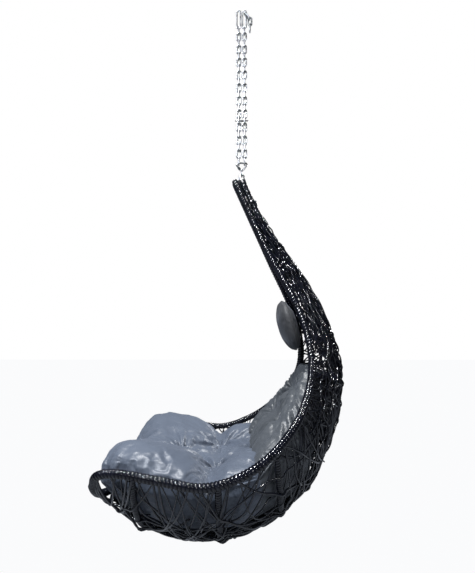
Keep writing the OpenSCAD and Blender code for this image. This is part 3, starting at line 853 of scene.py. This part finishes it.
def welt(name, tree, points, radius, material):
    """Piping sewn along the cushion's edge and sunk in its surface, with a cord's slight twist."""
    on = []
    for p in points:
        hit, normal, _, _ = tree.find_nearest(Vector(p))
        on.append(hit + normal * radius * 0.25)
    on = np.array([tuple(v) for v in on])
    for _ in range(3):
        on = (np.roll(on, 1, 0) + 2 * on + np.roll(on, -1, 0)) / 4
    n, sides = len(on), 8
    along = unit(np.roll(on, -1, 0) - np.roll(on, 1, 0))
    ups = np.array([tuple(tree.find_nearest(Vector(p))[1]) for p in on])
    for _ in range(4):
        ups = unit(np.roll(ups, 1, 0) + 2 * ups + np.roll(ups, -1, 0))
    across = unit(np.cross(along, ups))
    up = np.cross(across, along)
    a = 2 * math.pi * np.arange(sides) / sides
    twist = 1 + 0.06 * np.sin(np.arange(n)[:, None] * 1.9 + a[None])
    verts = on[:, None] + radius * twist[..., None] * (
        across[:, None] * np.cos(a)[None, :, None] + up[:, None] * np.sin(a)[None, :, None])
    faces = [quad for i in range(n) for quad in band(i * sides, (i + 1) % n * sides, sides)]
    finish_soft(shown(name, verts.reshape(-1, 3), faces), material, ())


def buttons(name, pad, tree, material, stands_for):
    """Domed cloth-covered buttons sitting at the bottom of the tufts."""
    verts, faces, sides = [], [], 28
    for f, share in pad.tufts:
        up = inward(pad.t(f))
        start = pad.surface(f, share, 60 * MM)
        hit, _, _, _ = tree.ray_cast(Vector(start), Vector(-up))
        u = unit(np.cross(up, (1.0, 0.0, 0.0)))
        v = np.cross(up, u)
        base = len(verts)
        for r, h in BUTTON_RINGS:
            for k in range(sides):
                a = 2 * math.pi * k / sides
                out = (u * math.cos(a) + v * math.sin(a)) * r * BUTTON_R
                verts.append(np.array(hit) + up * (h + 0.5) * MM + out)
        last = base + (len(BUTTON_RINGS) - 1) * sides
        for ring in range(base, last, sides):
            faces += band(ring, ring + sides, sides)
        faces.append(tuple(range(last, last + sides)))
    obj = shown(name, verts, faces)
    face_out(obj.data, weld=1e-6)
    finish_soft(obj, material, stands_for)


def seat_share(f):
    """How far the seat has changed from its rear section to its front one."""
    return smooth_step((f - 0.25) / 0.5)


TUFT_SHARE = 0.375          # how far to either side the paired buttons sit
FRONT_TUFT, REAR_ROW = (0.453, 0), 0.248
REAR_TUFT = {side: (REAR_ROW, TUFT_SHARE * side) for side in BOTH}
SEAT_CREASES = (
    [([FRONT_TUFT, (1.0, 0)], 24 * MM, 24 * MM)]
    + [([FRONT_TUFT, REAR_TUFT[side]], 26 * MM, 20 * MM) for side in BOTH]
    + [([REAR_TUFT[side], (REAR_ROW + 0.02, side)], 38 * MM, 22 * MM) for side in BOTH]
    + [([REAR_TUFT[1], REAR_TUFT[-1]], 20 * MM, 20 * MM)]
    + [([REAR_TUFT[side], (0, 0.36 * side)], 24 * MM, 20 * MM) for side in BOTH])
SEAT = Pad(
    "seat_cushion_cover", start=7.8, end=LAST - 0.5,
    rise=lambda f: (25 + 41 * seat_share(f)) * MM, hollow=lambda f: (40 + 56 * seat_share(f)) * MM,
    tufts=[FRONT_TUFT, REAR_TUFT[-1], REAR_TUFT[1]], creases=SEAT_CREASES,
    puff=16 * MM, wrinkles=(5 * MM, 7 * MM, 7 * MM))

BACK_ROWS = (5 / 14, 10 / 14)
BACK_TUFTS = [(row, TUFT_SHARE * side) for row in BACK_ROWS for side in BOTH]
BACK_CREASES = (
    [([(BACK_ROWS[0], TUFT_SHARE * side), (0, 0.42 * side)], 20 * MM, 22 * MM) for side in BOTH]
    + [([(row, TUFT_SHARE * side) for row in BACK_ROWS] + [(1, 0.36 * side)], 24 * MM, 22 * MM)
       for side in BOTH]
    + [([(row, -TUFT_SHARE), (row, TUFT_SHARE)], 20 * MM, 22 * MM) for row in BACK_ROWS]
    + [([(row, TUFT_SHARE * side), (row, 0.66 * side)], 14 * MM, 22 * MM)
       for row in BACK_ROWS for side in BOTH]
    + [([(0.02, 0.66 * side), (0.5, 0.7 * side), (0.98, 0.68 * side)], 26 * MM, 20 * MM) for side in BOTH])
BACK = Pad(
    "back_cushion_cover", start=5.1, end=8.1,
    rise=lambda f: (52 - 8 * np.asarray(f)) * MM, hollow=lambda f: 24 * MM + 0 * np.asarray(f),
    tufts=BACK_TUFTS, creases=BACK_CREASES,
    puff=14 * MM, wrinkles=(2.4 * MM, 6 * MM, 3.5 * MM))

PILLOW_AT = 3.75            # station of the pillow's middle
PILLOW_W, PILLOW_L, PILLOW_T = 250 * MM, 175 * MM, 58 * MM
PILLOW_SQUARE = 0.72        # 1 makes its outline an ellipse, less makes it squarer
PILLOW_CROWN = 2.6          # how squarely its faces turn down to the seam
UNFILLED = 0.97             # share of its finished width before the filling swells it


def pillow_shell(steps=40, sides=72):
    """The head pillow: two crowned faces meeting at a seam, a little smaller than the finished one."""
    low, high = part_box("head_pillow")
    centre = np.array((low + high) / 2)
    along = unit(rail(PILLOW_AT + 0.5, 0) - rail(PILLOW_AT - 0.5, 0))
    out = np.array((0, -along[2], along[1]))
    out = out if out[1] < 0 else -out
    verts, faces = [], []
    for face in (1, -1):
        for i in range(steps + 1):
            r = i / steps
            for k in range(sides):
                a = 2 * math.pi * k / sides
                c, s = math.cos(a), math.sin(a)
                x = UNFILLED * PILLOW_W / 2 * r * math.copysign(abs(c) ** PILLOW_SQUARE, c)
                y = UNFILLED * PILLOW_L / 2 * r * math.copysign(abs(s) ** PILLOW_SQUARE, s)
                crown = math.sqrt(max(0, 1 - r ** PILLOW_CROWN))
                h = face * 0.46 * PILLOW_T * crown * (1.0 if face > 0 else 0.85)
                verts.append(centre + np.array((x, 0, 0)) + along * y + out * h)
    per = (steps + 1) * sides
    for i in range(steps):
        faces += band(i * sides, (i + 1) * sides, sides)
    for i in range(steps):
        faces += [quad[::-1] for quad in band(per + i * sides, per + (i + 1) * sides, sides)]
    seam = [np.array(verts[steps * sides + k]) for k in range(sides)]
    obj = shown("head_pillow_cover", verts, faces)
    face_out(obj.data, weld=1e-5)
    return obj, np.array(seam)


def rim_loop(pad, lift):
    """Points round the cushion's edge, for its piping."""
    f = np.linspace(0.03, 0.97, 110)
    share = np.linspace(-0.93, 0.93, 90)
    side_height = pad.low(f, 1) + lift
    left, right = pad.at(f, np.ones(len(f)), side_height), pad.at(f, -np.ones(len(f)), side_height)
    front = pad.at(np.ones(len(share)), share, pad.low(1.0, share) + lift)
    rear = pad.at(np.zeros(len(share)), share, pad.low(0.0, share) + lift)
    return np.vstack([left, front[::-1], right[::-1], rear])


def held(pad, co):
    """How firmly the simulation holds each point: buttons fully, the underside nearly, creases a little."""
    lines = np.vstack([pad.surface(*polyline(line, 60).T) for line, _, _ in pad.creases])
    sunk = np.vstack([pad.surface(f, share) - inward(pad.t(f)) * TUFT for f, share in pad.tufts])
    weights = np.where(nearest(co, sunk) < 16 * MM, 1.0, 0.0)
    t_all = np.linspace(pad.start, pad.end, 80)
    back_face = basket(t_all[:, None], np.linspace(-1, 1, 80)[None]).reshape(-1, 3)
    below = nearest(co, back_face) < CUSHION_GAP + 9 * MM
    weights = np.where(below, 0.9, weights)
    creased = (nearest(co, lines) < 26 * MM) & ~below
    return np.where(creased & (weights < 0.5), 0.3, weights)


def build_cushions():
    rng = random.Random(5)
    soft = []
    for pad, voxel in ((SEAT, 6 * MM), (BACK, 5.5 * MM)):
        verts, faces = pad_shell(pad)
        obj = shown(pad.name, verts, faces)
        remesh(obj, voxel, 6)
        soft.append((obj, hold(obj, held(pad, coords(obj.data))), pad))
    pillow, seam = pillow_shell()
    remesh(pillow, 5 * MM, 3)
    pillow_hold = hold(pillow, np.where(nearest(coords(pillow.data), seam) < 9 * MM, 0.9, 0.0))
    for obj, group, _ in soft:
        add_cloth(obj, group, 4.5, 0.05)
    add_cloth(pillow, pillow_hold, 2.0, 0.02)
    run_cloth([o for o, _, _ in soft] + [pillow], [18 * MM, 16 * MM, 7 * MM])
    for (obj, _, pad), material, slot in zip(soft, (SEAT_CLOTH, BACK_CLOTH), ("seat_cloth", "back_cloth")):
        subdivide(obj)
        wrinkle(obj, pad, rng, *pad.wrinkles)
        tree = tree_of(obj)
        short = pad.name.replace("_cushion_cover", "")
        finish_soft(obj, material, (short + "_cushion",))
        welt(short + "_piping", tree, rim_loop(pad, PIPING_H), PIPING_R, material)
        buttons(short + "_button_covers", pad, tree, material, (short + "_buttons",))
    subdivide(pillow)
    finish_soft(pillow, PILLOW_CLOTH, ("head_pillow",))
    welt("pillow_piping", tree_of(pillow), seam, 2.2 * MM, PILLOW_CLOTH)


def dress_cad_nodes():
    """Materials for the CAD nodes that are shown as they are."""
    slots = {part["node"]: part["material_slot"] for part in frame["record"]["subparts"]}
    materials = {"zinc_hardware": ZINC, "steel_tube": PAINT, "seat_cloth": SEAT_CLOTH,
                 "back_cloth": BACK_CLOTH, "pillow_cloth": PILLOW_CLOTH}
    for name, node in frame["nodes"].items():
        node.data.materials.clear()
        node.data.materials.append(materials.get(slots[name], STRIP))


# ---- Stage, light and camera
FLOOR_Z, FLOOR_HALF = -2.28, 30
CHAIR = (0, -0.05, -1.45)   # where the lights are aimed
LIGHTS = (                  # name, place, diameter, watts, colour
    ("key", (1.5, -1.3, 0.6), 0.2, 70, (0.9, 0.94, 1)),
    ("top", (0.3, -0.5, 1.2), 0.3, 75, (1, 1, 1)),
    ("fill", (2.6, 1.2, -0.4), 0.3, 14, (1, 1, 1)),
    ("rim", (-1.6, 1.6, 0.1), 0.3, 30, (0.95, 0.97, 1)),
)
CAMERA_AT = (1.57, 0.007, -1.222)
CAMERA_UP, CAMERA_TURN = math.radians(7.1), math.radians(0.8)
LENS, SENSOR = 28.96, 36


def build_floor():
    """A floor that the camera sees as almost white, and that lights the chair as a dark one."""
    mesh = bpy.data.meshes.new("floor")
    corners = [(x * FLOOR_HALF, y * FLOOR_HALF, FLOOR_Z) for x, y in ((-1, -1), (1, -1), (1, 1), (-1, 1))]
    mesh.from_pydata(corners, [], [(0, 1, 2, 3)])
    floor = bpy.data.objects.new("floor", mesh)
    bpy.context.scene.collection.objects.link(floor)
    material, nodes, links, shader = new_material("pale_floor")
    shader.inputs["Base Color"].default_value = (0.16, 0.17, 0.19, 1)
    shader.inputs["Roughness"].default_value = 0.9
    pale = add_node(nodes, "ShaderNodeEmission", Color=(0.96, 0.965, 0.975, 1), Strength=1.0)
    ray, mix = nodes.new("ShaderNodeLightPath"), nodes.new("ShaderNodeMixShader")
    links.new(ray.outputs["Is Camera Ray"], mix.inputs[0])
    links.new(shader.outputs[0], mix.inputs[1])
    links.new(pale.outputs[0], mix.inputs[2])
    links.new(mix.outputs[0], nodes["Material Output"].inputs["Surface"])
    mesh.materials.append(material)


def area_light(name, at, size, power, colour):
    data = bpy.data.lights.new(name, "AREA")
    data.shape = "DISK"
    data.size, data.energy, data.color = size, power, colour
    light = bpy.data.objects.new(name, data)
    light.location = at
    light.rotation_mode = "QUATERNION"
    light.rotation_quaternion = (Vector(CHAIR) - Vector(at)).to_track_quat("-Z", "Y")
    bpy.context.scene.collection.objects.link(light)


def build_world():
    """White as the camera sees it, softer as a light, and nearly dark in mirrored rays."""
    world = bpy.data.worlds.new("studio")
    world.use_nodes = True
    bpy.context.scene.world = world
    nodes, links = world.node_tree.nodes, world.node_tree.links
    seen = add_node(nodes, "ShaderNodeBackground", Color=(1, 1, 1, 1), Strength=1.0)
    lit = add_node(nodes, "ShaderNodeBackground", Color=(0.9, 0.95, 1, 1), Strength=0.45)
    mirrored = add_node(nodes, "ShaderNodeBackground", Color=(0.8, 0.88, 1, 1), Strength=0.035)
    ray = nodes.new("ShaderNodeLightPath")
    mix, gloss = nodes.new("ShaderNodeMixShader"), nodes.new("ShaderNodeMixShader")
    links.new(ray.outputs["Is Glossy Ray"], gloss.inputs[0])
    links.new(lit.outputs[0], gloss.inputs[1])
    links.new(mirrored.outputs[0], gloss.inputs[2])
    links.new(ray.outputs["Is Camera Ray"], mix.inputs[0])
    links.new(gloss.outputs[0], mix.inputs[1])
    links.new(seen.outputs[0], mix.inputs[2])
    links.new(mix.outputs[0], nodes["World Output"].inputs["Surface"])


def build_camera():
    data = bpy.data.cameras.new("camera")
    data.lens, data.sensor_width = LENS, SENSOR
    data.clip_start, data.clip_end = 0.05, 100
    camera = bpy.data.objects.new("camera", data)
    camera.location = CAMERA_AT
    level = math.cos(CAMERA_UP)
    way = Vector((-level * math.cos(CAMERA_TURN), -level * math.sin(CAMERA_TURN), math.sin(CAMERA_UP)))
    camera.rotation_mode = "QUATERNION"
    camera.rotation_quaternion = way.to_track_quat("-Z", "Y")
    bpy.context.scene.collection.objects.link(camera)
    bpy.context.scene.camera = camera


build_windings()
build_weave()
build_cushions()
dress_cad_nodes()
build_floor()
build_world()
build_camera()
for light in LIGHTS:
    area_light(*light)
bpy.context.scene.view_settings.view_transform = "Standard"
